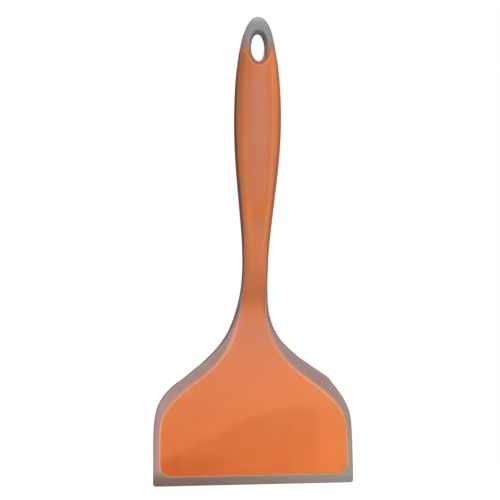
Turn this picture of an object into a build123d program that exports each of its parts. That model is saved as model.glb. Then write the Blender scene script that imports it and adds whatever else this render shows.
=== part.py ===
from build123d import *
import math
import os

# A wide one-piece kitchen turner, made in two mouldings: a stiff core (handle bar, neck and blade plate in one)
# and a silicone skin moulded round all of it, with a soft lip below the plate and a clear tip with a hang hole.
#
# Frame, in millimetres: +Z runs from the working lip up to the hang hole, -Y is the top face of the blade (the
# face the food lies on) and +X runs across the blade. The origin is in the middle of the object's width and
# depth, at the height of the lip.

# Overall
LENGTH = 320.0
BLADE_SLOPE = math.tan(math.radians(7.0))  # the blade leans forward, towards its lip
LIP_BACK_Y = 3.8
HEEL = 98.0  # the blade's back is flat from the lip to this height

# Front outline of the skin: (height, half-width), and the half-width of its flat front facet
SKIN_OUTLINE = [
    (0, 69.5), (22, 69.3), (38, 69.0), (48, 67.8), (56, 64.9), (64, 59.4), (72, 51.3), (80, 40.5), (88, 30.5),
    (96, 22.5), (104, 17.0), (113, 13.2), (124, 10.6), (135, 9.35), (148, 8.95), (163, 9.4), (180, 10.85),
    (204, 13.35), (228, 15.45), (249, 16.15), (269, 15.6), (288, 13.85), (300, 11.75), (310, 9.15), (LENGTH, 0),
]
SKIN_FACET = [
    (0, 66.5), (22, 66.4), (38, 65.9), (48, 64.4), (56, 61.2), (64, 55.4), (72, 46.9), (80, 36.6), (88, 27.0),
    (96, 18.8), (104, 12.8), (113, 8.7), (124, 5.5), (135, 3.8), (148, 3.0), (158, 3.5), (170, 5.2), (186, 7.0),
    (204, 8.4), (228, 9.6), (249, 10.0), (269, 9.7), (288, 8.7), (300, 7.3), (310, 5.3), (LENGTH, 0),
]

# Front outline of the core, which leaves a wide silicone rim round the blade
PLATE_BOTTOM = 5.9
CORE_OUTLINE = [
    (PLATE_BOTTOM, 65.65), (20, 65.55), (36, 65.3), (46, 63.65), (54, 59.15), (62, 51.9), (70, 41.7), (78, 31.2),
    (86, 23.4), (94, 18.25), (102, 14.5), (111, 11.35), (123, 9.15), (135, 8.15), (148, 7.85), (163, 8.3),
    (180, 9.75), (204, 12.25), (228, 14.35), (249, 15.05), (269, 14.5), (288, 12.7), (299, 10.5), (312, 6.4),
]

# Side profile: (height, thickness of the skin) and (height, y of its back)
THICKNESS = [
    (0, 1.0), (7, 2.3), (30, 3.0), (60, 3.8), (88, 4.9), (106, 6.6), (126, 9.6), (148, 12.4), (172, 14.5),
    (205, 16.4), (245, 17.2), (272, 16.2), (290, 14.0), (303, 11.2), (312, 7.9), (LENGTH, 0),
]
BACK_LINE = [
    (0, LIP_BACK_Y), (49, LIP_BACK_Y + 49 * BLADE_SLOPE), (HEEL, LIP_BACK_Y + HEEL * BLADE_SLOPE), (118, 17.8),
    (126, 17.1), (134, 15.3), (142, 13.5), (152, 11.4), (165, 9.1), (175, 7.6), (205, 4.2), (240, 1.2),
    (275, -1.5), (295, -3.7), (308, -5.9), (LENGTH, -9.7),
]

# Cross-section: slope of the soft crease beside the handle's front facet, crown of that facet, and the width
# of the back's flat as a share of the front facet
CREASE_DEGREES = [(0, 0), (140, 0), (170, 24), (290, 24), (LENGTH, 10)]
CROWN = [(0, 0), (90, 0), (148, 0.25), (220, 0.5), (LENGTH, 0.3)]
BACK_FLAT_SHARE = [(0, 1.0), (90, 1.0), (135, 0.9), (240, 0.75), (LENGTH, 0.75)]
CURVE_PULL = 0.58  # how square the rounded sides are

# Skin over the faces of the core, and the rounding along the core plate's edge
SKIN_COVER = [(0, 0.8), (80, 0.8), (140, 1.1), (LENGTH, 1.1)]
PLATE_EDGE_R = 1.3

# Corners in the front outline
LIP_CORNER_R = 2.0
PLATE_CORNER_R = 8.0

# Thumb hollow in the handle's front facet, cut by the outside of a ring
HOLLOW_HEIGHT = 180.0
HOLLOW_DEPTH = 1.3
HOLLOW_LONG_R = 58.0
HOLLOW_CROSS_R = 14.0

# Hang hole, an oval through the clear tip with flared mouths, and the fork of the core around it
HOLE_HEIGHT = 298.6
HOLE_HALF_WIDTH = 4.6
HOLE_HALF_LENGTH = 9.2
MOUTH_FLARE = 2.2
HOLE_RING = 2.0  # silicone between the hole and the fork
FORK_TOP = 299.0

# Heights of the cross-sections
BLADE_SECTIONS = [PLATE_BOTTOM, 13, 20, 28, 36, 44, 52, 60, 67, 74, 81, 88, 95, 102, 110, 118, 126, 134, 142, 152]
HANDLE_SECTIONS = [166, 180, 195, 212, 230, 250, 268, 284]
SKIN_SECTIONS = [0, *BLADE_SECTIONS, *HANDLE_SECTIONS, 296, 304, 310, 314.5, 317.5, 319.2, 319.9]
CORE_SECTIONS = [*BLADE_SECTIONS, *HANDLE_SECTIONS, 292, FORK_TOP]

FLAT_CUT = 0.3  # extra depth behind the blade, taken off again by the cut that makes its back flat
FAR = 200.0  # beyond the object on every side


def smooth_curve(knots):
    """A function through (height, value) knots with continuous curvature: a natural cubic spline."""
    last = len(knots) - 1
    x = [k[0] for k in knots]
    y = [k[1] for k in knots]
    gap = [x[i + 1] - x[i] for i in range(last)]
    upper = [0.0] * (last + 1)
    right = [0.0] * (last + 1)
    for i in range(1, last):
        turn = (y[i + 1] - y[i]) / gap[i] - (y[i] - y[i - 1]) / gap[i - 1]
        pivot = 2 * (gap[i - 1] + gap[i]) - gap[i - 1] * upper[i - 1]
        upper[i] = gap[i] / pivot
        right[i] = (6 * turn - gap[i - 1] * right[i - 1]) / pivot
    bend = [0.0] * (last + 1)
    for i in range(last - 1, 0, -1):
        bend[i] = right[i] - upper[i] * bend[i + 1]

    def value(at):
        i = max(j for j in range(last) if j == 0 or x[j] <= at)
        a = (x[i + 1] - at) / gap[i]
        b = (at - x[i]) / gap[i]
        curve = (a**3 - a) * bend[i] + (b**3 - b) * bend[i + 1]
        return a * y[i] + b * y[i + 1] + curve * gap[i] ** 2 / 6

    return value


def rounded(knots):
    """A smooth curve through the knots' squares, so that a knot of 0 closes in a round dome."""
    squares = smooth_curve([(z, v * v) for z, v in knots])
    return lambda at: math.sqrt(max(squares(at), 0.0))


def eased(knots):
    """A function that goes from knot to knot without overshoot."""

    def value(at):
        for (x0, y0), (x1, y1) in zip(knots, knots[1:]):
            if at <= x1:
                t = (at - x0) / (x1 - x0)
                return y0 + (y1 - y0) * t * t * (3 - 2 * t)
        return knots[-1][1]

    return value


skin_half_width = rounded(SKIN_OUTLINE)
skin_facet = rounded(SKIN_FACET)
core_half_width = rounded(CORE_OUTLINE)
thickness = rounded(THICKNESS)
back_line = smooth_curve(BACK_LINE)
crease = eased(CREASE_DEGREES)
crown = eased(CROWN)
back_flat_share = eased(BACK_FLAT_SHARE)
skin_cover = eased(SKIN_COVER)


def section(z, half_width, facet, front_y, back_y):
    """A closed cross-section at height z: a crowned front facet, a back flat, and rounded sides between them."""
    side_y = (front_y + back_y) / 2
    half_depth = (back_y - front_y) / 2
    back_flat = facet * back_flat_share(z)
    tilt = math.radians(crease(z))
    front_pull = (half_width - facet) * CURVE_PULL
    back_pull = (half_width - back_flat) * CURVE_PULL

    def front_side(sign):
        facet_end = (sign * facet, front_y)
        leave = (sign * (facet + front_pull * math.cos(tilt)), front_y + front_pull * math.sin(tilt))
        arrive = (sign * half_width, side_y - half_depth * CURVE_PULL * (1 - math.sin(tilt) / 2))
        return [facet_end, leave, arrive, (sign * half_width, side_y)]

    def back_side(sign):
        leave = (sign * half_width, side_y + half_depth * CURVE_PULL)
        arrive = (sign * (back_flat + back_pull), back_y)
        return [(sign * half_width, side_y), leave, arrive, (sign * back_flat, back_y)]

    curves = [
        [(-facet, front_y), (0, front_y - 2 * crown(z)), (facet, front_y)],
        front_side(1),
        back_side(1),
        [(back_flat, back_y), (-back_flat, back_y)],
        back_side(-1)[::-1],
        front_side(-1)[::-1],
    ]
    return Wire([Edge.make_bezier(*[Vector(x, y, z) for x, y in curve]) for curve in curves])


def skin_section(z):
    back = back_line(z)
    front = back - thickness(z)
    if z < HEEL:
        back += FLAT_CUT
    return section(z, skin_half_width(z), skin_facet(z), front, back)


def core_section(z):
    cover = skin_cover(z)
    back = back_line(z) - cover
    front = back_line(z) - thickness(z) + cover
    half_width = core_half_width(z)
    facet = half_width * skin_facet(z) / skin_half_width(z)
    if z < HEEL:
        facet = max(facet, half_width - PLATE_EDGE_R * (1 + z / HEEL))
    return section(z, half_width, facet, front, back)


def corner_cutters(half_width, bottom, radius):
    """What two bottom corners lose when they are rounded in the front outline."""
    cutters = []
    for sign in (-1, 1):
        middle = Pos(sign * (half_width - radius), 0, bottom + radius)
        block = Pos(sign * FAR / 2, 0, -FAR / 2) * Box(FAR, FAR, FAR)
        cutters.append(middle * (block - Rot(90, 0, 0) * Cylinder(radius, FAR)))
    return cutters


def behind_blade():
    """The space behind the plane of the blade's flat back."""
    back_plane = Plane(origin=(0, LIP_BACK_Y, 0), x_dir=(1, 0, 0), z_dir=(0, 1, -BLADE_SLOPE))
    return back_plane * Pos(0, 0, FAR / 2) * Box(FAR, 2 * FAR, FAR)


def thumb_cutter(cover):
    """A ring whose outside sinks into the front facet, this far below the skin's own hollow."""
    step = 1.0
    front = lambda z: back_line(z) - thickness(z) - crown(z)
    lean = math.atan((front(HOLLOW_HEIGHT + step) - front(HOLLOW_HEIGHT - step)) / (2 * step))
    away = HOLLOW_LONG_R - HOLLOW_DEPTH
    centre_y = front(HOLLOW_HEIGHT) - away * math.cos(lean)
    centre_z = HOLLOW_HEIGHT + away * math.sin(lean)
    ring = Torus(HOLLOW_LONG_R - HOLLOW_CROSS_R, HOLLOW_CROSS_R + cover)
    return Pos(0, centre_y, centre_z) * Rot(0, 90, 0) * ring


def oval_passage(grow):
    """The hang hole's space, grown by this much: narrowest half-way through, flaring to the front and the back."""
    half_depth = thickness(HOLE_HEIGHT) / 2
    middle = back_line(HOLE_HEIGHT) - half_depth
    ovals = []
    for share in (-1.5, -1, -0.7, -0.4, 0, 0.4, 0.7, 1, 1.5):
        plane = Plane(origin=(0, middle + share * half_depth, HOLE_HEIGHT), x_dir=(1, 0, 0), z_dir=(0, 1, 0))
        wider = grow + MOUTH_FLARE * abs(share) ** 3
        ovals.append(plane * Ellipse(HOLE_HALF_WIDTH + wider, HOLE_HALF_LENGTH + wider))
    return loft(ovals)


def core():
    """Handle bar, neck and blade plate in one, forked at the top to clear the hang hole."""
    bar = Solid.make_loft([core_section(z) for z in CORE_SECTIONS])
    corners = corner_cutters(core_half_width(PLATE_BOTTOM), PLATE_BOTTOM, PLATE_CORNER_R)
    return bar - corners - thumb_cutter(skin_cover(HOLLOW_HEIGHT)) - oval_passage(HOLE_RING)


def silicone_overmould(inner):
    """The skin: everything inside the outer shape that the core and the hang hole leave."""
    outside = Solid.make_loft([skin_section(z) for z in SKIN_SECTIONS])
    corners = corner_cutters(skin_half_width(0), 0, LIP_CORNER_R)
    return outside - behind_blade() - corners - thumb_cutter(0) - oval_passage(0) - inner


def main():
    os.makedirs("parts", exist_ok=True)
    inner = core()
    export_step(inner, "parts/core.step")
    export_step(silicone_overmould(inner), "parts/silicone_overmould.step")


main()
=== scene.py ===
import math

import bmesh
import bpy
import numpy as np
from mathutils import Matrix, Vector
from mathutils.bvhtree import BVHTree


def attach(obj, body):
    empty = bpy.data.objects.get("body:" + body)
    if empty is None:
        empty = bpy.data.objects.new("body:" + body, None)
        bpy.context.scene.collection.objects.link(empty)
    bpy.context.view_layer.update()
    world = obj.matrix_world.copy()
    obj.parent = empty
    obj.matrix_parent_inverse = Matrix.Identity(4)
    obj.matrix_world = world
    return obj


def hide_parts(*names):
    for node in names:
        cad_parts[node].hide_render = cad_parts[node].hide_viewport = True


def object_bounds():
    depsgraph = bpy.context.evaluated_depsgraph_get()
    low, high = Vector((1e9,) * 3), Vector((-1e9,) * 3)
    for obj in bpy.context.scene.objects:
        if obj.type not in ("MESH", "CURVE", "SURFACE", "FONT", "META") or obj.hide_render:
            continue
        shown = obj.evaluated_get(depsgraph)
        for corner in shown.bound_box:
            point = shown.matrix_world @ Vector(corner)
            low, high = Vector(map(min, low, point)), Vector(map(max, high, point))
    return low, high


# A wide silicone turner: a stiff orange core seen through a translucent grey silicone skin.
# Shapes are worked out in millimetres and written in metres, in the CAD's frame:
# +Z runs from the lip to the hang hole, and -Y is the blade's top face.

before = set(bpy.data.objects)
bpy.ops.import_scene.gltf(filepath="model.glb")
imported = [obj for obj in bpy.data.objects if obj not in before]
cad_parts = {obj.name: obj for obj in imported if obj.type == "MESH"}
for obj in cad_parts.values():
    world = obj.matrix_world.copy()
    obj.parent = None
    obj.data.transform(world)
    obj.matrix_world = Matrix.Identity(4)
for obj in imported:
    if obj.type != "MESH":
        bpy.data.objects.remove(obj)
CAD_LOW, CAD_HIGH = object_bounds()

MM = 0.001
LENGTH = 320.0
BLADE_SLOPE = math.tan(math.radians(7.0))
LIP_BACK_Y = 3.8
HEEL = 98.0  # the flat blade ends here

# The tables below are (height, value) knots.
SKIN_OUTLINE = [  # half-width
    (0, 69.5), (22, 69.3), (38, 69.0), (48, 67.8), (56, 64.9), (64, 59.4), (72, 51.3), (80, 40.5),
    (88, 30.5), (96, 22.5), (104, 17.0), (113, 13.2), (124, 10.6), (135, 9.35), (148, 8.95), (163, 9.4),
    (180, 10.85), (204, 13.35), (228, 15.45), (249, 16.15), (269, 15.6), (288, 13.85), (300, 11.75),
    (310, 9.15), (LENGTH, 0),
]
SKIN_FACET = [  # half-width of the front's flat face, between the rounded sides
    (0, 66.5), (22, 66.4), (38, 65.9), (48, 64.4), (56, 61.2), (64, 55.4), (72, 46.9), (80, 36.6),
    (88, 27.0), (96, 18.8), (104, 12.8), (113, 8.7), (124, 5.5), (135, 3.8), (148, 3.0), (158, 3.5),
    (170, 5.2), (186, 7.0), (204, 8.4), (228, 9.6), (249, 10.0), (269, 9.7), (288, 8.7), (300, 7.3),
    (310, 5.3), (LENGTH, 0),
]
PLATE_BOTTOM = 5.9
CORE_OUTLINE = [  # half-width
    (PLATE_BOTTOM, 65.65), (20, 65.55), (36, 65.3), (46, 63.65), (54, 59.15), (62, 51.9), (70, 41.7),
    (78, 31.2), (86, 23.4), (94, 18.25), (102, 14.5), (111, 11.35), (123, 9.15), (135, 8.15),
    (148, 7.85), (163, 8.3), (180, 9.75), (204, 12.25), (228, 14.35), (249, 15.05), (269, 14.5),
    (288, 12.7), (299, 10.5), (312, 6.4),
]
THICKNESS = [  # front to back, over the skin
    (0, 1.0), (7, 2.3), (30, 3.0), (60, 3.8), (88, 4.9), (106, 6.6), (126, 9.6), (148, 12.4),
    (172, 14.5), (205, 16.4), (245, 17.2), (272, 16.2), (290, 14.0), (303, 11.2), (312, 7.9), (LENGTH, 0),
]
BACK_LINE = [  # y of the back
    (0, LIP_BACK_Y), (49, LIP_BACK_Y + 49 * BLADE_SLOPE), (HEEL, LIP_BACK_Y + HEEL * BLADE_SLOPE),
    (118, 17.8), (126, 17.1), (134, 15.3), (142, 13.5), (152, 11.4), (165, 9.1), (175, 7.6),
    (205, 4.2), (240, 1.2), (275, -1.5), (295, -3.7), (308, -5.9), (LENGTH, -9.7),
]
CREASE_DEGREES = [(0, 0), (140, 0), (170, 24), (290, 24), (LENGTH, 10)]  # bend where facet meets side
CROWN = [(0, 0), (90, 0), (148, 0.25), (220, 0.5), (LENGTH, 0.3)]  # the facet's rise at its middle
BACK_FLAT_SHARE = [(0, 1.0), (90, 1.0), (135, 0.9), (240, 0.75), (LENGTH, 0.75)]  # of the front facet
SKIN_COVER = [(0, 0.8), (80, 0.8), (140, 1.1), (LENGTH, 1.1)]  # silicone over the core
CURVE_PULL = 0.58  # how full the rounded sides are
PLATE_EDGE_R = 1.3

# The moulding isn't quite symmetrical: how far it leans to the right, by height
HANDLE_LEAN = [
    (93, -0.35), (99, -0.8), (108, -0.82), (116, -0.57), (124, -0.12), (132, 0.24), (140, 0.42),
    (149, 0.5), (158, 0.34), (170, 0.3), (184, 0.2), (215, 0.12), (238, 0.09), (254, 0), (278, -0.21),
    (286, -0.27), (295, -0.39), (304, -0.38), (312, -0.1), (LENGTH, -0.1),
]
SKIN_LEAN = [
    (0, -0.08), (46, -0.1), (56, -0.45), (62, -0.4), (67, 0.3), (73, 1.87), (80, 1.05), (88, 0.05),
] + HANDLE_LEAN
CORE_LEAN = [(0, 0.05), (45, 0), (70, -0.2), (86, -0.3)] + HANDLE_LEAN

LIP_CORNER_R = 2.0
LIP_EDGE_R = 0.5
PLATE_CORNER_R = 8.0
PLATE_EDGE_ROUND = 0.6

HOLLOW_HEIGHT = 180.0  # the thumb's hollow, a torus pressed into the front
HOLLOW_DEPTH = 1.3
HOLLOW_LONG_R = 58.0
HOLLOW_CROSS_R = 14.0
HOLLOW_BLUR = 0.12
HOLLOW_NEAR = 6.0  # points further behind the torus than this are left as they are

HOLE_HEIGHT = 298.6
HOLE_HALF_WIDTH = 4.6
HOLE_HALF_LENGTH = 9.2
HOLE_RING = 2.0  # silicone between the hole and the core's fork
MOUTH_SKIN = 2.5  # rounding of the hole's mouths
MOUTH_CORE = 1.2
HORN_TOP = 297.2  # the fork's two ends, before their caps
HORN_CAP = 1.7
HORN_TILT = (0.22, -0.02, 1.0)  # the way the caps point: inwards, forwards, up

SKIN_SPLIT = 280.0  # rings up to here, then a sheet that runs round the hang hole
CORE_SPLIT = 276.0

# Mesh density
SIDE_STEPS = 22
FLAT_STEPS = 44
HALF_POINTS = 2 * SIDE_STEPS + FLAT_STEPS + 1
EVEN_SHARE = 0.4  # how evenly the flat's points are spaced: 1 is even, 0 is close together at its ends
CREASES_FROM = 135  # the facet's creases are softened above this height
CREASE_PASSES = 2
EDGE_RINGS = 13
BLADE_RINGS_TOP = 126
BLADE_STEP = 1.1
HANDLE_RINGS_FOOT = 127
HANDLE_STEP = 1.6
HORN_SIDE_POINTS = 30
TIP_SIDE_POINTS = 46
SHEET_ROWS = 18
SHEET_CROWDING = 1.7  # above 1, the rows crowd towards the outline
PASSAGE_ROWS = 9
CAP_ROWS = 6
HALVINGS = 34  # of the interval, when a surface point is searched for
JOIN_WITHIN = 2e-6  # metres
TOO_SHORT = 1e-6


def natural_spline(knots):
    """A smooth curve through (height, value) knots, as a function of an array of heights."""
    x = np.array([k[0] for k in knots], float)
    y = np.array([k[1] for k in knots], float)
    gap = np.diff(x)
    slope = np.diff(y) / gap
    count = len(x)
    system = np.eye(count)
    right = np.zeros(count)
    for i in range(1, count - 1):
        system[i, i - 1:i + 2] = gap[i - 1], 2 * (gap[i - 1] + gap[i]), gap[i]
        right[i] = 6 * (slope[i] - slope[i - 1])
    bend = np.linalg.solve(system, right)

    def value(at):
        at = np.asarray(at, float)
        i = np.clip(np.searchsorted(x, at, side="right") - 1, 0, count - 2)
        a = (x[i + 1] - at) / gap[i]
        b = (at - x[i]) / gap[i]
        curve = (a**3 - a) * bend[i] + (b**3 - b) * bend[i + 1]
        return a * y[i] + b * y[i + 1] + curve * gap[i] ** 2 / 6

    return value


def rounded(knots):
    """A smooth curve of half-widths that closes roundly where it reaches 0."""
    squares = natural_spline([(z, v * v) for z, v in knots])
    return lambda at: np.sqrt(np.maximum(squares(at), 0.0))


def eased(knots):
    """A curve that goes from knot to knot without overshoot, and is level at each knot."""
    x = np.array([k[0] for k in knots], float)
    y = np.array([k[1] for k in knots], float)

    def value(at):
        at = np.clip(np.asarray(at, float), x[0], x[-1])
        i = np.clip(np.searchsorted(x, at, side="right") - 1, 0, len(x) - 2)
        t = (at - x[i]) / (x[i + 1] - x[i])
        return y[i] + (y[i + 1] - y[i]) * t * t * (3 - 2 * t)

    return value


def straight(at, knots):
    """The value at each place on straight lines between (place, value) knots."""
    return np.interp(at, [k[0] for k in knots], [k[1] for k in knots])


skin_half_width = rounded(SKIN_OUTLINE)
skin_facet = rounded(SKIN_FACET)
core_half_width = rounded(CORE_OUTLINE)
thickness = rounded(THICKNESS)
back_line = natural_spline(BACK_LINE)
crease = eased(CREASE_DEGREES)
crown = eased(CROWN)
back_flat_share = eased(BACK_FLAT_SHARE)
skin_cover = eased(SKIN_COVER)
skin_lean = eased(SKIN_LEAN)
core_lean = eased(CORE_LEAN)


def mid_depth(z):
    """y halfway between the front and the back."""
    return back_line(z) - thickness(z) / 2


def corner_inset(z, bottom, radius):
    """How far a rounded bottom corner draws the outline in at height z."""
    up = np.clip(z - bottom, 0.0, radius)
    return radius - np.sqrt(radius * radius - (radius - up) ** 2)


def edge_share(z, bottom, radius):
    """Share of the full thickness left at height z by a round edge along the bottom."""
    up = np.clip((z - bottom) / radius, 0.0, 1.0)
    return np.sqrt(1 - (1 - up) ** 2)


def cubic(poles, t):
    """One coordinate of a cubic Bezier curve. Poles and t may be arrays."""
    s = 1 - t
    return poles[0] * s**3 + poles[1] * 3 * s * s * t + poles[2] * 3 * s * t * t + poles[3] * t**3


class Shell:
    """One closed surface of the turner, the skin's outside or the core's, as cross-sections by height."""

    def __init__(self, is_core):
        self.is_core = is_core
        self.outline = core_half_width if is_core else skin_half_width

        def front(z):
            return float(back_line(z) - thickness(z) - crown(z))

        slope = math.atan((front(HOLLOW_HEIGHT + 1) - front(HOLLOW_HEIGHT - 1)) / 2)
        away = HOLLOW_LONG_R - HOLLOW_DEPTH
        self.hollow_y = front(HOLLOW_HEIGHT) - away * math.cos(slope)
        self.hollow_z = HOLLOW_HEIGHT + away * math.sin(slope)
        self.hollow_cross = HOLLOW_CROSS_R + (float(skin_cover(HOLLOW_HEIGHT)) if is_core else 0.0)

    def depths(self, z):
        """y of the front and of the back at height z."""
        back = back_line(z)
        front = back - thickness(z)
        if not self.is_core:
            back = np.where(z < HEEL, LIP_BACK_Y + z * BLADE_SLOPE, back)
        mid, half = (front + back) / 2, (back - front) / 2
        if self.is_core:
            half = (half - skin_cover(z)) * edge_share(z, PLATE_BOTTOM, PLATE_EDGE_ROUND)
        else:
            half = half * edge_share(z, 0.0, LIP_EDGE_R)
        return mid - half, mid + half

    def widths(self, z):
        """Half-width of the outline and of the front facet."""
        facet = skin_facet(z)
        if not self.is_core:
            inset = corner_inset(z, 0.0, LIP_CORNER_R)
            return skin_half_width(z) - inset, facet - inset
        wide = core_half_width(z)
        facet = wide * facet / np.maximum(skin_half_width(z), 1e-6)
        plate = wide - PLATE_EDGE_R * (1 + z / HEEL)
        facet = np.where(z < HEEL, np.maximum(facet, plate), facet)
        inset = corner_inset(z, PLATE_BOTTOM, PLATE_CORNER_R)
        return wide - inset, facet - inset

    def side_poles(self, z, to_back):
        """Poles of the rounded side, from the facet's end to the outline: four of |x|, four of y."""
        front, back = self.depths(z)
        wide, flat = self.widths(z)
        mid, half = (front + back) / 2, (back - front) / 2
        if to_back:
            flat = flat * back_flat_share(z)
            pull = (wide - flat) * CURVE_PULL
            return (flat, flat + pull, wide, wide), (back, back, mid + half * CURVE_PULL, mid)
        tilt = np.radians(crease(z))
        pull = (wide - flat) * CURVE_PULL
        xs = (flat, flat + pull * np.cos(tilt), wide, wide)
        low = mid - half * CURVE_PULL * (1 - np.sin(tilt) / 2)
        return xs, (front, front + pull * np.sin(tilt), low, mid)

    def facet_y(self, x, z, to_back):
        """y of the flat part of the front or back, with the front's crown."""
        front, back = self.depths(z)
        if to_back:
            return back + 0 * x
        share = np.clip(np.abs(x) / np.maximum(self.widths(z)[1], 1e-6), 0, 1)
        return front - crown(z) * (1 - share * share)

    def half(self, z, to_back):
        """The front or back half of the cross-section, as (x, y) rows from the left side to the right."""
        t = np.linspace(0, 1, SIDE_STEPS + 1)
        u = np.linspace(0, 1, FLAT_STEPS + 1)
        u = (EVEN_SHARE * u + (1 - EVEN_SHARE) * (0.5 - 0.5 * np.cos(np.pi * u)))[1:-1]
        xs, ys = self.side_poles(z, to_back)
        right = np.column_stack([cubic(xs, t), cubic(ys, t)])
        left = (right * [-1, 1])[::-1]
        x = left[-1, 0] * (1 - u) + right[0, 0] * u
        points = np.concatenate([left, np.column_stack([x, self.facet_y(x, z, to_back)]), right])
        if not to_back:
            points[:, 1] = self.sunk(points[:, 0], z, points[:, 1])
        return points

    def sunk(self, x, z, y):
        """Front y after the thumb hollow is pressed in, with a soft rim."""
        cross = self.hollow_cross
        reach = HOLLOW_LONG_R - HOLLOW_CROSS_R + np.sqrt(np.maximum(cross**2 - x**2, 0.0))
        drop = np.sqrt(np.maximum(reach**2 - (z - self.hollow_z) ** 2, 0.0))
        gap = self.hollow_y + drop - y
        pressed = 0.5 * (gap + np.sqrt(gap * gap + HOLLOW_BLUR**2))
        near = (np.abs(x) < cross) & (np.abs(z - self.hollow_z) < reach) & (gap > -HOLLOW_NEAR)
        return y + pressed * near

    def surface_y(self, x, z, to_back):
        """y of the front or back surface at points (x, z)."""
        z = np.minimum(z, LENGTH - 0.001)
        xs, ys = self.side_poles(z, to_back)
        low, high = np.zeros(len(x)), np.ones(len(x))
        for _ in range(HALVINGS):
            t = (low + high) / 2
            short = cubic(xs, t) < np.abs(x)
            low, high = np.where(short, t, low), np.where(short, high, t)
        y = np.where(np.abs(x) > xs[0], cubic(ys, (low + high) / 2), self.facet_y(x, z, to_back))
        return y if to_back else self.sunk(x, z, y)


def soften(points, at, passes):
    """Rounds the crease points of an open row of points."""
    for _ in range(passes):
        for i in at:
            points[i] = 0.25 * points[i - 1] + 0.5 * points[i] + 0.25 * points[i + 1]


def ring_at(shell, z):
    """A closed cross-section: the front half left to right, then the back half right to left."""
    front = shell.half(z, False)
    if z > CREASES_FROM:
        creases = [corner + i for corner in (SIDE_STEPS, SIDE_STEPS + FLAT_STEPS) for i in (-1, 0, 1)]
        soften(front, creases, CREASE_PASSES)
    row = np.concatenate([front, shell.half(z, True)[::-1][1:-1]])
    return np.column_stack([row[:, 0], row[:, 1], np.full(len(row), z)])


def heights(bottom, curve, top):
    """Heights of the body's rings: close together round the bottom edge, then even."""
    low = bottom + curve * (1 - np.cos(np.linspace(0, np.pi / 2, EDGE_RINGS)))
    blade = np.arange(bottom + curve + 1.0, BLADE_RINGS_TOP, BLADE_STEP)
    count = int((top - HANDLE_RINGS_FOOT) / HANDLE_STEP) + 1
    return np.concatenate([low, blade, np.linspace(HANDLE_RINGS_FOOT, top, count)])


def outer_rows(shell, split, top):
    """The outer edge of the sheet round the hang hole, as a row for the front and a row for the back.

    Each goes from the left outline's top down it, along the split and up the right outline."""
    side_z = np.linspace(split, top, HORN_SIDE_POINTS)
    if top == LENGTH:
        side_z = split + (top - split) * np.sin(np.linspace(0, np.pi / 2, TIP_SIDE_POINTS))
    ring = ring_at(shell, split)
    front = ring[:HALF_POINTS]
    back = np.vstack([ring[:1], ring[HALF_POINTS:][::-1], ring[HALF_POINTS - 1:HALF_POINTS]])

    def side(sign):
        return np.column_stack([sign * shell.outline(side_z), mid_depth(side_z), side_z])

    left, right = side(-1)[::-1][:-1], side(1)[1:]
    return np.vstack([left, front, right]), np.vstack([left, back, right])


def rows_to_hole(shell, outer, grow, mouth, to_back):
    """Rows over the front or back from the outer row to the hole's mouth, then through it to mid-depth."""
    a, b = HOLE_HALF_WIDTH + grow, HOLE_HALF_LENGTH + grow
    angle = np.arctan2((outer[:, 2] - HOLE_HEIGHT) / b, outer[:, 0] / a)
    narrow = np.column_stack([a * np.cos(angle), HOLE_HEIGHT + b * np.sin(angle)])
    normal = np.column_stack([np.cos(angle) / a, np.sin(angle) / b])
    normal /= np.linalg.norm(normal, axis=1)[:, None]
    lip = narrow + normal * mouth
    rows = [outer]
    for k in range(1, SHEET_ROWS + 1):
        s = (k / SHEET_ROWS) ** SHEET_CROWDING
        flat = outer[:, [0, 2]] * (1 - s) + lip * s
        y = shell.surface_y(flat[:, 0], flat[:, 1], to_back)
        rows.append(np.column_stack([flat[:, 0], y, flat[:, 1]]))
    lip_y = rows[-1][:, 1]
    mid_y = float(mid_depth(HOLE_HEIGHT))
    for k in range(1, PASSAGE_ROWS + 1):
        phi = math.pi / 2 * k / PASSAGE_ROWS
        flat = narrow + normal * mouth * (1 - math.sin(phi))
        y = lip_y + (mid_y - lip_y) * (1 - math.cos(phi))
        rows.append(np.column_stack([flat[:, 0], y, flat[:, 1]]))
    return rows


def sheet_round_hole(shell, split, top, grow, mouth):
    """The top of a shell: rows of points from its outline to the hang hole, through it and back."""
    front_outer, back_outer = outer_rows(shell, split, top)
    front = rows_to_hole(shell, front_outer, grow, mouth, False)
    back = rows_to_hole(shell, back_outer, grow, mouth, True)
    return np.array(front + back[::-1][1:])  # rows x columns x 3


def horn_cap(loop, side):
    """Rows that close a horn's end with a round cap. Side is -1 for the left horn and 1 for the right."""
    inwards, forwards, upwards = HORN_TILT
    up = np.array([-side * inwards, forwards, upwards])
    up /= np.linalg.norm(up)
    centre = loop.mean(axis=0)
    rows = [loop]
    for k in range(1, CAP_ROWS + 1):
        phi = math.pi / 2 * k / CAP_ROWS
        rows.append(centre + (loop - centre) * math.cos(phi) + up * HORN_CAP * math.sin(phi))
    return np.array(rows)


def leaned(grid, lean):
    """The points moved sideways by the lean at their height."""
    moved = np.array(grid)
    moved[..., 0] += lean(moved[..., 2])
    return moved


def add_grid(bm, grid, close_columns):
    """Quads between neighbouring rows of points. Grid is rows x columns x 3, in millimetres."""
    verts = [[bm.verts.new(Vector(p) * MM) for p in row] for row in grid.tolist()]
    columns = len(verts[0])
    last = columns if close_columns else columns - 1
    for low, high in zip(verts, verts[1:]):
        for i in range(last):
            j = (i + 1) % columns
            bm.faces.new((low[i], low[j], high[j], high[i]))


def link_mesh(bm, name):
    """Puts the bmesh in the scene as a new object."""
    mesh = bpy.data.meshes.new(name)
    bm.to_mesh(mesh)
    bm.free()
    obj = bpy.data.objects.new(name, mesh)
    bpy.context.scene.collection.objects.link(obj)
    return obj


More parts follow.
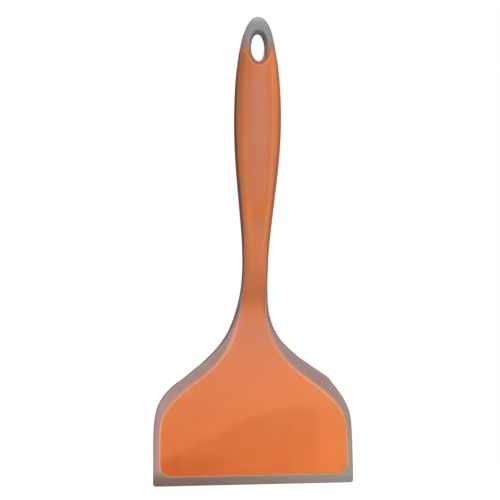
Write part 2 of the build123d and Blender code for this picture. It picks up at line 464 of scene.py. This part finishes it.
def close_mesh(bm, name):
    """Joins the grids into one closed, smooth mesh and puts it in the scene."""
    bmesh.ops.remove_doubles(bm, verts=bm.verts, dist=JOIN_WITHIN)
    bmesh.ops.dissolve_degenerate(bm, edges=bm.edges, dist=TOO_SHORT)
    bmesh.ops.recalc_face_normals(bm, faces=bm.faces)
    for f in bm.faces:
        f.smooth = True
    return link_mesh(bm, name)


def skin_mesh():
    shell = Shell(False)
    bm = bmesh.new()
    rings = np.array([ring_at(shell, z) for z in heights(0.0, LIP_CORNER_R, SKIN_SPLIT)])
    sheet = sheet_round_hole(shell, SKIN_SPLIT, LENGTH, 0.0, MOUTH_SKIN)
    add_grid(bm, leaned(rings, skin_lean), True)
    add_grid(bm, leaned(sheet, skin_lean), False)
    return close_mesh(bm, "translucent_skin")


def core_mesh():
    shell = Shell(True)
    bm = bmesh.new()
    rings = np.array([ring_at(shell, z) for z in heights(PLATE_BOTTOM, PLATE_CORNER_R, CORE_SPLIT)])
    sheet = leaned(sheet_round_hole(shell, CORE_SPLIT, HORN_TOP, HOLE_RING, MOUTH_CORE), core_lean)
    add_grid(bm, leaned(rings, core_lean), True)
    add_grid(bm, sheet, False)
    add_grid(bm, horn_cap(sheet[:, 0][:-1], -1), True)
    add_grid(bm, horn_cap(sheet[:, -1][:-1], 1), True)
    return close_mesh(bm, "orange_core")


skin = skin_mesh()
core = core_mesh()
for piece, node, slot in ((skin, "silicone_overmould", "clear_silicone"), (core, "core", "core_nylon")):
    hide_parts(node)
    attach(piece, "root")


# Attributes, which the materials read from the vertices. Lengths are in millimetres.

PLATE_TRACE = (16, 161, 1.5)  # from height, to height and step, where the plate's side is traced
CORNER_TRACE = 14  # points on the plate's bottom corner
PLATE_RULES_TO = 150.0  # below here a point is beyond the core when it is outside the plate's outline
FORK_RULES_FROM = 200.0  # and above here when it is outside the fork's
FORK_TOP = HORN_TOP + 0.4
THICK_SKIN = 2.7  # the tip's skin looks like rim only where it is thicker than this

NECK_CLOSES = (118, 150)  # the clear rim fades away between these heights
TIP_OPENS = (272, 286)  # and comes back between these
BORDER_INSET = 0.2  # the border's middle lies this far inside the core's outline
BORDER_HALF = [  # half the border's width
    (0, 0.4), (44, 0.4), (60, 1.3), (104, 1.1), (120, 0.5), (282, 0.5), (290, 0.6), (297, 0.8), (300, 1.1),
]
BORDER_RANGE = 6  # the attribute stops here on both sides

FACET_HELD_FROM = 312.0  # the facet closes above here
# Painted highlight along the handle's ridges: its width, its strength by height, and the left one's share
RIDGE_WIDTH = 0.75
RIDGE_HIGHLIGHT_STRENGTH = [(146, 0), (156, 0.9), (200, 1), (280, 0.9), (296, 0)]
LEFT_RIDGE_HIGHLIGHT = 0.5  # as a share of the right ridge

# Painted shade on the lower blade: the top edge of the shaded wedge by x, its blur, and its fade at the right
# end
WEDGE_TOP = [(-66, 15), (-62, 18), (-42, 26.5), (-22, 36), (-3, 45), (16, 49.5), (32, 51.5), (43, 51)]  # by x
WEDGE_BLUR = 3.5
WEDGE_FADE = 0.6  # at its right end

BLADE_PALE = 0.68  # paleness is 0 for the deepest orange and 1 for the palest
# Painted light: the blade's orange is made paler towards the right, as if lit from there, and paler towards
# its top, where a lamp's sheen falls
PALE_PER_MM = 0.003  # towards the right
PALE_WITH_HEIGHT = 0.19
# How much the painted shade of the wedge and of the lower left corner deepens the orange
WEDGE_SHADE = 0.3
CORNER_SHADE = 0.32
# Painted light and shade up the handle: paler where its front faces the light, deeper in the neck's crook,
# where it faces down
HANDLE_PALE = [
    (100, 1), (116, 1), (124, 0.7), (130, 0.55), (150, 0.65), (170, 0.75), (215, 0.68), (250, 0.58),
    (280, 0.5), (290, 0.38),
]

# Painted shade on the core: in the neck's crook by height, and on the handle's right and left sides
CROOK_SHADE = [(118, 0), (129, 0.2), (142, 0.16), (154, 0.02)]
RIGHT_SIDE_SHADE = 0.05
LEFT_SIDE_SHADE = 0.09

# The pale line at the plate's edge, by height: partly the thin edge's paler plastic and partly a painted
# highlight
GLOW_WIDTH = [(0, 1.2), (50, 1.2), (78, 1.8), (95, 2.4), (112, 2.4)]
GLOW_STRENGTH = [(0, 0.2), (12, 0.5), (30, 0.85), (78, 0.7), (95, 0.8), (108, 0.5), (116, 0.0)]
LEFT_SHOULDER_LOSS = 0.6

# A painted sheen streak up the handle's middle, and the skin's milky haze with a painted sheen on the upper
# blade
STREAK_X = 0.8
STREAK_SHARE = 0.55  # of the facet's half-width
STREAK_WIDTH = 0.5
SHEEN_STREAK = [(130, 0), (160, 0.1), (176, 0.25), (186, 0.0), (215, 0.35), (235, 0.7), (275, 0.6), (290, 0.1)]
HAZE_AND_SHEEN = [
    (0, 0.0), (40, 0.15), (70, 0.35), (100, 0.7), (112, 0.8), (122, 0.45), (180, 0.45), (188, 0.2),
    (200, 0.4), (280, 0.25),
]


def smooth(value, low, high):
    """0 below low, 1 above high, smooth between."""
    t = np.clip((value - low) / (high - low), 0, 1)
    return t * t * (3 - 2 * t)


def polyline_distance(points, line):
    """Unsigned distance from each point to a polyline, both in 2-D."""
    best = np.full(len(points), 1e9)
    for a, b in zip(line, line[1:]):
        d = b - a
        t = np.clip(((points - a) @ d) / max(d @ d, 1e-12), 0, 1)
        best = np.minimum(best, np.linalg.norm(points - (a + t[:, None] * d), axis=1))
    return best


def inside(points, polygon):
    """Even-odd test of points against a closed polygon."""
    odd = np.zeros(len(points), bool)
    x, z = points[:, 0], points[:, 1]
    for (ax, az), (bx, bz) in zip(polygon, np.roll(polygon, -1, axis=0)):
        if az == bz:
            continue
        crosses = (az > z) != (bz > z)
        odd ^= crosses & (x < (bx - ax) * (z - az) / (bz - az) + ax)
    return odd


def outside_plate(x, z):
    """Signed distance, in the front view, from the core plate's outline: positive beyond it."""
    curve_z = PLATE_BOTTOM + PLATE_CORNER_R * (1 - np.cos(np.linspace(0, np.pi / 2, CORNER_TRACE)))
    plate_z = np.concatenate([curve_z, np.arange(*PLATE_TRACE)])
    side_x = core_half_width(plate_z) - corner_inset(plate_z, PLATE_BOTTOM, PLATE_CORNER_R)
    edge = np.vstack([[-1, PLATE_BOTTOM], np.column_stack([side_x, plate_z])])
    closed = np.vstack([edge, [-1, plate_z[-1]]])
    points = np.column_stack([np.abs(x), z])
    return polyline_distance(points, edge) * np.where(inside(points, closed), -1, 1)


def beyond_fork(x, z):
    """Signed distance, in the front view, from the fork round the hang hole: positive beyond it."""
    grow = HOLE_RING + MOUTH_CORE
    a, b = HOLE_HALF_WIDTH + grow, HOLE_HALF_LENGTH + grow
    in_hole = (1 - np.hypot(x / a, (z - HOLE_HEIGHT) / b)) * a
    return np.maximum(in_hole, z - FORK_TOP)


def beyond_core(x, z, clear):
    """How far each point lies beyond the core's outline. Clear is its distance from the core."""
    plate = outside_plate(x, np.minimum(z, PLATE_RULES_TO))
    return np.where(z > FORK_RULES_FROM, np.maximum(beyond_fork(x, z), clear - THICK_SKIN), plate)


def clear_zone(z):
    """1 where the skin reaches beyond the core, round the blade and the hang hole. 0 along the handle."""
    return 1 - smooth(z, *NECK_CLOSES) + smooth(z, *TIP_OPENS)


def border(z, beyond):
    """Where a point lies in the soft border between core and clear rim: -1 at its start, 1 at its end."""
    half = straight(z, BORDER_HALF)
    half *= 1 + 0.5 * smooth(z, 84, 94) * (1 - smooth(z, 120, 140))
    return np.clip((beyond + BORDER_INSET) / half, -BORDER_RANGE, BORDER_RANGE)


def facet_at(z):
    """The front facet's half-width, held steady near the tip, where the facet closes."""
    return skin_facet(np.clip(z, 0, FACET_HELD_FROM))


def ridge_highlight(x, z, front_facing):
    """1 on the two soft ridges of the handle's front, 0 away from them: a painted highlight along each. The
    right one is painted brighter, as it catches more light.
    """
    off = np.abs(np.abs(x) - facet_at(z))
    on = np.exp(-((off / RIDGE_WIDTH) ** 2)) * front_facing
    return on * straight(z, RIDGE_HIGHLIGHT_STRENGTH) * np.where(x > 0, 1.0, LEFT_RIDGE_HIGHLIGHT)


def shaded_wedge(x, z):
    """1 in the painted shade on the lower blade, where a lamp's sheen is missing: a soft wedge that rises
    from the lower left corner.
    """
    depth = smooth(straight(x, WEDGE_TOP) - z, -WEDGE_BLUR, WEDGE_BLUR)
    return depth * (1 - WEDGE_FADE * smooth(x, 41, 46))


def paleness(x, z):
    """How pale the core's orange is: the blade's own level, with painted light paler towards its top and its
    right, painted shade deeper in the lower left corner and the wedge, and painted light and shade up the
    handle.
    """
    # painted shade in the blade's lower left corner
    corner = smooth(-x, 5, 60) * (1 - smooth(z, 14, 26))
    blade = BLADE_PALE + PALE_PER_MM * x + PALE_WITH_HEIGHT * smooth(z, 15, 80)
    blade -= WEDGE_SHADE * shaded_wedge(x, z) + CORNER_SHADE * corner
    neck = smooth(z, 100, 112)
    return np.clip(blade * (1 - neck) + straight(z, HANDLE_PALE) * neck, 0, 1)


def painted_dimness(x, z):
    """How much painted shade darkens the core: in the crook of the neck, where its front faces down, and
    along both sides of the handle's front, turned from the light.
    """
    right = RIGHT_SIDE_SHADE * (x > 0) * smooth(z, 150, 175)
    left = LEFT_SIDE_SHADE * (x < 0) * smooth(z, 235, 275)
    return straight(z, CROOK_SHADE) + smooth(np.abs(x) / facet_at(z), 0.3, 0.85) * (right + left)


def thin_edge_and_highlight(x, z):
    """The pale line just inside the plate's edge, broader and softer up the neck: the thin plastic's paler
    edge with a painted highlight where its rounded edge catches light.
    """
    inwards = np.minimum(outside_plate(x, z), 0)
    left_shoulder = smooth(-x, 10, 20) * smooth(z, 40, 55)
    line = np.exp(-((inwards / straight(z, GLOW_WIDTH)) ** 2))
    return line * straight(z, GLOW_STRENGTH) * (1 - LEFT_SHOULDER_LOSS * left_shoulder)


def milk_and_sheen(x, z):
    """How milky the skin looks over the core, with painted sheen: a streak up the handle's middle that is a
    painted reflection of a lamp, and a haze that is the skin's own milkiness, raised into a painted sheen on
    the upper blade.
    """
    across = np.exp(-(((x - STREAK_X) / (STREAK_SHARE * facet_at(z) + STREAK_WIDTH)) ** 2))
    return straight(z, HAZE_AND_SHEEN) + across * straight(z, SHEEN_STREAK)


def set_attribute(obj, name, values):
    attribute = obj.data.attributes.new(name, "FLOAT", "POINT")
    attribute.data.foreach_set("value", np.asarray(values, np.float32))


def vertex_values(obj, what):
    """The vertices' positions ("co") or normals ("normal"), as rows of three."""
    values = np.zeros(len(obj.data.vertices) * 3)
    obj.data.vertices.foreach_get(what, values)
    return values.reshape(-1, 3)


def upright_place(obj):
    """x and z of each vertex in millimetres, with the core's lean taken out."""
    place = vertex_values(obj, "co") / MM
    return place[:, 0] - core_lean(place[:, 2]), place[:, 2]


def distance_from_core():
    """Each skin vertex's distance from the core."""
    bm = bmesh.new()
    bm.from_mesh(core.data)
    tree = BVHTree.FromBMesh(bm)
    bm.free()
    return np.array([tree.find_nearest(v.co)[3] for v in skin.data.vertices]) / MM


def mark_core():
    x, z = upright_place(core)
    front_facing = vertex_values(core, "normal")[:, 1] < -0.2
    set_attribute(core, "ridge", ridge_highlight(x, z, front_facing))
    set_attribute(core, "pale", paleness(x, z))
    set_attribute(core, "painted_dim", painted_dimness(x, z))
    set_attribute(core, "thin_edge_and_highlight", thin_edge_and_highlight(x, z))


def mark_skin():
    x, z = upright_place(skin)
    set_attribute(skin, "border", border(z, beyond_core(x, z, distance_from_core())))
    set_attribute(skin, "clear_zone", clear_zone(z))
    set_attribute(skin, "milk_sheen", milk_and_sheen(x, z))
    set_attribute(skin, "turned", 1 - np.abs(vertex_values(skin, "normal")[:, 1]))


mark_core()
mark_skin()


# Materials

def rgb(red, green, blue):
    """An sRGB colour, 0 to 255, as linear RGBA."""
    shares = [c / 255 for c in (red, green, blue)]
    linear = [c / 12.92 if c <= 0.04045 else ((c + 0.055) / 1.055) ** 2.4 for c in shares]
    return (*linear, 1.0)


GRAIN_STRENGTH = 0.05
GRAIN_DEPTH = 0.0001  # metres
CORE_GRAIN = (900.0, 3.0, 0.6)  # a noise's scale, detail and roughness
SKIN_GRAIN = (700.0, 3.0, 0.6)
CLOUD = (22.0, 3.0, 0.5)
MOTTLE = (60.0, 4.0, 0.6)
MOTTLE_SHARE = 0.1
CLOUD_SHARE = 0.1
CORE_IOR = 1.25
SKIN_IOR = 1.22
CORE_ROUGHNESS = (0.4, 0.52)
SKIN_ROUGHNESS = (0.42, 0.52)

RIM_OPACITY = 0.86
GRAZING_OPACITY = 0.85  # where the thin skin turns away
MILK_OPACITY = 0.2
CLEAREST_OPACITY = 0.01

# The core's colours
BLACK = rgb(0, 0, 0)
DEEP_ORANGE = rgb(210, 94, 10)
PALE_ORANGE = rgb(247, 140, 62)
MOTTLE_ORANGE = rgb(248, 160, 92)
RIDGE_HIGHLIGHT_ORANGE = rgb(250, 178, 104)
# The plate edge's paler orange, which also carries a painted highlight
EDGE_ORANGE = rgb(250, 182, 112)
RIDGE_HIGHLIGHT_SHARE = 0.3
EDGE_SHARE = 0.75

# The skin's tones up the piece are (from height, to height, tone), in metres. A pair is for left and right.
# The lip's rim, left and right: the left in painted shade
LIP_RIM = rgb(104, 84, 76), rgb(127, 117, 110)
RIM_STEPS = [
    (0.004, 0.012, (rgb(146, 116, 113), rgb(133, 115, 107))),  # the blade's sides
    (0.05, 0.07, rgb(132, 107, 105)),  # shoulders and neck
    (0.28, 0.29, rgb(128, 104, 90)),  # below the hang hole
    (0.294, 0.309, rgb(113, 112, 113)),
    (0.305, 0.317, rgb(101, 102, 103)),  # the tip
]
HOLE_FOOT_RIM = rgb(112, 69, 54)
# Painted shade where the rim turns away, partly the thicker silicone's darker look
TURNED_RIM_SHADE = rgb(62, 50, 46)

# The cream line where the core's edge shows through the skin: the thin edge's paler orange with a painted
# highlight
LIP_CREAM = rgb(196, 130, 78)
CREAM_STEPS = [
    (0.006, 0.016, (rgb(224, 150, 94), rgb(214, 138, 92))),  # the blade's sides
    (0.042, 0.054, (rgb(198, 122, 82), rgb(206, 130, 86))),  # shoulders
    (0.07, 0.1, (rgb(200, 140, 116), rgb(172, 118, 100))),  # neck
    (0.27, 0.28, rgb(194, 110, 76)),
    (0.289, 0.295, rgb(170, 92, 54)),  # the fork's ends
]

VEIL = rgb(214, 172, 160)  # the thin skin over the core, seen square on
BLADE_FLANK = rgb(180, 114, 72)  # and turned away
# Painted shade: the handle's left flanks darker than its right one, as if lit from the right
SHADED_LEFT_FLANKS = rgb(106, 57, 34), rgb(104, 60, 46)  # low and high on the handle
LIT_RIGHT_FLANK = rgb(158, 89, 48)


class Nodes:
    """Short names for building a node tree."""

    def __init__(self, owner):
        owner.use_nodes = True
        self.tree = owner.node_tree
        self.tree.nodes.clear()

    def add(self, kind):
        return self.tree.nodes.new("ShaderNode" + kind)

    def put(self, socket, value):
        """Links a socket to the input, or sets its value."""
        if isinstance(value, bpy.types.NodeSocket):
            self.tree.links.new(value, socket)
        else:
            socket.default_value = value

    def attribute(self, name):
        node = self.add("Attribute")
        node.attribute_name = name
        return node.outputs["Fac"]

    def place(self):
        """x and z of the shaded point, in metres."""
        split = self.add("SeparateXYZ")
        self.put(split.inputs[0], self.add("TexCoord").outputs["Object"])
        return split.outputs["X"], split.outputs["Z"]

    def math(self, operation, a, b, c=0.0, clamp=False):
        node = self.add("Math")
        node.operation = operation
        node.use_clamp = clamp
        for socket, value in zip(node.inputs, (a, b, c)):
            self.put(socket, value)
        return node.outputs[0]

    def times(self, a, b):
        return self.math("MULTIPLY", a, b)

    def ramp(self, value, low, high, out_low=0.0, out_high=1.0):
        node = self.add("MapRange")
        node.interpolation_type = "SMOOTHSTEP"
        for socket, v in zip(node.inputs, (value, low, high, out_low, out_high)):
            self.put(socket, v)
        return node.outputs[0]

    def blend(self, factor, a, b):
        """Colour a where the factor is 0, colour b where it is 1."""
        node = self.add("Mix")
        node.data_type = "RGBA"
        for socket, value in zip((node.inputs[0], node.inputs[6], node.inputs[7]), (factor, a, b)):
            self.put(socket, value)
        return node.outputs[2]

    def blend_numbers(self, factor, a, b):
        node = self.add("Mix")
        for socket, value in zip((node.inputs[0], node.inputs[2], node.inputs[3]), (factor, a, b)):
            self.put(socket, value)
        return node.outputs[0]

    def noise(self, scale, detail, roughness):
        node = self.add("TexNoise")
        self.put(node.inputs["Vector"], self.add("TexCoord").outputs["Object"])
        self.put(node.inputs["Scale"], scale)
        self.put(node.inputs["Detail"], detail)
        self.put(node.inputs["Roughness"], roughness)
        return node.outputs["Fac"]

    def satin(self, base, grain, roughness, ior):
        """A finely grained, moulded surface. Roughness is its range."""
        bump = self.add("Bump")
        self.put(bump.inputs["Height"], grain)
        self.put(bump.inputs["Strength"], GRAIN_STRENGTH)
        self.put(bump.inputs["Distance"], GRAIN_DEPTH)
        shader = self.add("BsdfPrincipled")
        self.put(shader.inputs["Base Color"], base)
        self.put(shader.inputs["Roughness"], self.ramp(grain, 0.2, 0.8, *roughness))
        self.put(shader.inputs["IOR"], ior)
        self.put(shader.inputs["Normal"], bump.outputs["Normal"])
        return shader.outputs[0]

    def mix(self, factor, a, b):
        """Surface a where the factor is 0, surface b where it is 1."""
        node = self.add("MixShader")
        for socket, value in zip(node.inputs, (factor, a, b)):
            self.put(socket, value)
        return node.outputs[0]

    def finish(self, surface, kind="OutputMaterial"):
        self.put(self.add(kind).inputs["Surface"], surface)

    def climb(self, height, side, first, steps):
        """Tones that follow one another up the piece, from (from height, to height, tone) steps."""
        tone = self.sided(side, first)
        for start, end, above in steps:
            tone = self.blend(self.ramp(height, start, end), tone, self.sided(side, above))
        return tone

    def sided(self, side, tone):
        """A tone as it is, or a pair blended from the left one to the right one."""
        return self.blend(side, *tone) if len(tone) == 2 else tone


def core_material():
    material = bpy.data.materials.new("core_nylon")
    n = Nodes(material)
    # The core's orange, paler or deeper with the painted light and shade carried by pale
    base = n.blend(n.attribute("pale"), DEEP_ORANGE, PALE_ORANGE)
    mottle = n.times(n.ramp(n.noise(*MOTTLE), 0.35, 0.65), MOTTLE_SHARE)
    base = n.blend(mottle, base, MOTTLE_ORANGE)
    # The thin edge's paler orange with a painted highlight
    base = n.blend(n.times(n.attribute("thin_edge_and_highlight"), EDGE_SHARE), base, EDGE_ORANGE)
    # Painted highlight along the handle's two ridges
    base = n.blend(n.times(n.attribute("ridge"), RIDGE_HIGHLIGHT_SHARE), base, RIDGE_HIGHLIGHT_ORANGE)
    # Painted shade: the core darkened towards black in the neck's crook and at the handle's sides
    base = n.blend(n.attribute("painted_dim"), base, BLACK)
    n.finish(n.satin(base, n.noise(*CORE_GRAIN), CORE_ROUGHNESS, CORE_IOR))
    return material


def turned_share(n, height):
    """How much painted shade darkens the rim where it turns away, partly the thicker silicone's darker look:
    most on the shoulders, least at the tip.
    """
    depth = n.times(n.ramp(height, 0.285, 0.297, 0.85, 0.1), n.ramp(height, 0.1, 0.13, 1.0, 0.5))
    depth = n.times(depth, n.ramp(height, 0.035, 0.055, 0.45, 1.0))
    return n.times(n.ramp(n.attribute("turned"), 0.02, 0.6), depth)


def rim_tone(n, across, height):
    """The clear rim's grey-mauve, neutral grey round the hang hole; the lip's left is painted darker and
    browner than its right, a painted shade as if lit from the right.
    """
    tone = n.climb(height, n.ramp(across, -0.06, 0.06), LIP_RIM, RIM_STEPS)
    hole_foot = n.times(n.ramp(height, 0.27, 0.28), n.ramp(height, 0.3, 0.289))
    tone = n.blend(hole_foot, tone, HOLE_FOOT_RIM)
    # painted shade where the rim turns away
    tone = n.blend(turned_share(n, height), tone, TURNED_RIM_SHADE)
    brightness = n.math("MULTIPLY_ADD", n.ramp(n.noise(*CLOUD), 0.3, 0.7), CLOUD_SHARE, 1 - CLOUD_SHARE / 2)
    clouded = n.add("VectorMath")
    clouded.operation = "SCALE"
    n.put(clouded.inputs[0], tone)
    n.put(clouded.inputs["Scale"], brightness)
    return clouded.outputs[0]


def veil_tone(n, across, height, facing):
    """The thin skin over the core: pale where it is seen square on, darker at its flanks, where the skin
    looks thicker and painted shade falls; the left flanks are painted darker than the right, as if lit from
    the right.
    """
    left = n.blend(n.ramp(height, 0.19, 0.27), *SHADED_LEFT_FLANKS)
    flank = n.blend(n.ramp(across, -0.008, 0.008), left, LIT_RIGHT_FLANK)
    flank = n.blend(n.ramp(height, 0.11, 0.145), BLADE_FLANK, flank)
    return n.blend(n.ramp(facing, 0.14, 0.48), VEIL, flank)


def skin_material():
    material = bpy.data.materials.new("clear_silicone")
    n = Nodes(material)
    across, height = n.place()
    facing = n.add("LayerWeight").outputs["Facing"]
    in_rim = n.times(n.ramp(n.attribute("border"), -1.7, -1.0), n.attribute("clear_zone"))
    fade = n.ramp(n.attribute("border"), -1.1, 0.9)
    # cream line: the core's paler edge with a painted highlight
    cream = n.climb(height, n.ramp(across, -0.04, 0.04), LIP_CREAM, CREAM_STEPS)
    rim = n.blend(fade, cream, rim_tone(n, across, height))
    colour = n.blend(in_rim, veil_tone(n, across, height, facing), rim)
    # The skin's milkiness and the painted sheen both make it more opaque over the core
    milk_sheen = n.math("MULTIPLY_ADD", n.attribute("milk_sheen"), MILK_OPACITY, CLEAREST_OPACITY)
    over_core = n.math("MULTIPLY_ADD", n.ramp(facing, 0.18, 0.6), GRAZING_OPACITY, milk_sheen, clamp=True)
    opacity = n.blend_numbers(in_rim, over_core, RIM_OPACITY)
    surface = n.satin(colour, n.noise(*SKIN_GRAIN), SKIN_ROUGHNESS, SKIN_IOR)
    n.finish(n.mix(opacity, n.add("BsdfTransparent").outputs[0], surface))
    return material


core.data.materials.append(core_material())
skin.data.materials.append(skin_material())


# Stage, lights and camera

FLOOR_SIZE = 6.0
FLOOR_DROP = 0.0005
FLOOR_SHADE = (0.97, 0.97, 0.97, 1.0)
WHITE = (1.0, 1.0, 1.0, 1.0)
DAYLIGHT = (0.97, 0.98, 1.0, 1.0)
WORLD_RANGE = (-1.0, 1.0, 0.08, 0.2)  # from x, to x, strength there

LAMP_TARGET = Vector((0, 0, 0.13))
LAMPS = [  # name, place, width and height, watts
    ("overhead", (0, -0.5, 2.2), (0.9, 0.9), 103.0),
    ("key", (0.8, -1.25, 1.9), (0.9, 0.9), 21.0),
    ("front", (0, -1.7, 0.12), (0.6, 0.5), 9.0),
    ("back", (-0.15, 1.7, 1.2), (1.2, 1.2), 26.0),
]

CAMERA_AZIMUTH = math.radians(-7.965)
CAMERA_RISE = math.radians(1.5)
CAMERA_ROLL = math.radians(0.112)
CAMERA_DISTANCE = 0.7781
CAMERA_TARGET = Vector((0, -0.00225, 0.160))
CAMERA_SHIFT = (-0.0121, 0.00284)
CAMERA_CLIP = (0.05, 50.0)
SENSOR_MM = 36.0
LENS_MM = 81.684


def floor_material():
    """Nearly white, with a glow that grows away from the object, so that no line shows at the backdrop."""
    material = bpy.data.materials.new("pale_floor")
    n = Nodes(material)
    far = n.add("VectorMath")
    far.operation = "LENGTH"
    n.put(far.inputs[0], n.add("TexCoord").outputs["Object"])
    plain = n.add("BsdfDiffuse")
    n.put(plain.inputs["Color"], FLOOR_SHADE)
    glow = n.add("Emission")
    n.put(glow.inputs["Color"], WHITE)
    n.finish(n.mix(n.ramp(far.outputs["Value"], 0.07, 0.22, 0.8, 1.0), plain.outputs[0], glow.outputs[0]))
    return material


def make_floor():
    bm = bmesh.new()
    bmesh.ops.create_grid(bm, x_segments=8, y_segments=8, size=FLOOR_SIZE)
    floor = link_mesh(bm, "floor")
    floor.location = (0, 0, CAD_LOW.z - FLOOR_DROP)
    floor.data.materials.append(floor_material())


def make_world():
    """White to the camera, and a soft light on the object that is stronger from the right."""
    world = bpy.data.worlds.new("studio")
    bpy.context.scene.world = world
    n = Nodes(world)
    seen = n.add("Background")
    n.put(seen.inputs["Color"], WHITE)
    across = n.add("SeparateXYZ")
    n.put(across.inputs[0], n.add("TexCoord").outputs["Generated"])
    strength = n.add("MapRange")
    for socket, value in zip(strength.inputs, (across.outputs["X"], *WORLD_RANGE)):
        n.put(socket, value)
    lit = n.add("Background")
    n.put(lit.inputs["Color"], DAYLIGHT)
    n.put(lit.inputs["Strength"], strength.outputs[0])
    seen_directly = n.add("LightPath").outputs["Is Camera Ray"]
    n.finish(n.mix(seen_directly, lit.outputs[0], seen.outputs[0]), "OutputWorld")


def aim(obj, direction):
    """Points a lamp or a camera along the direction."""
    obj.rotation_mode = "QUATERNION"
    obj.rotation_quaternion = direction.to_track_quat("-Z", "Y")
    bpy.context.scene.collection.objects.link(obj)


def make_lamp(name, place, size, watts):
    data = bpy.data.lights.new(name, "AREA")
    data.shape = "RECTANGLE"
    data.size, data.size_y = size
    data.energy = watts
    lamp = bpy.data.objects.new(name, data)
    lamp.location = place
    aim(lamp, LAMP_TARGET - Vector(place))


def make_camera():
    level = Vector((-math.sin(CAMERA_AZIMUTH), math.cos(CAMERA_AZIMUTH), 0)) * math.cos(CAMERA_RISE)
    forward = level + Vector((0, 0, math.sin(CAMERA_RISE)))
    data = bpy.data.cameras.new("camera")
    data.sensor_width = SENSOR_MM
    data.lens = LENS_MM
    data.shift_x, data.shift_y = CAMERA_SHIFT
    data.clip_start, data.clip_end = CAMERA_CLIP
    camera = bpy.data.objects.new("camera", data)
    camera.location = CAMERA_TARGET - forward * CAMERA_DISTANCE
    aim(camera, forward)
    roll = Matrix.Rotation(CAMERA_ROLL, 3, "Z").to_quaternion()
    camera.rotation_quaternion = camera.rotation_quaternion @ roll
    bpy.context.scene.camera = camera


make_floor()
make_world()
for lamp_settings in LAMPS:
    make_lamp(*lamp_settings)
make_camera()
bpy.context.scene.view_settings.view_transform = "Standard"
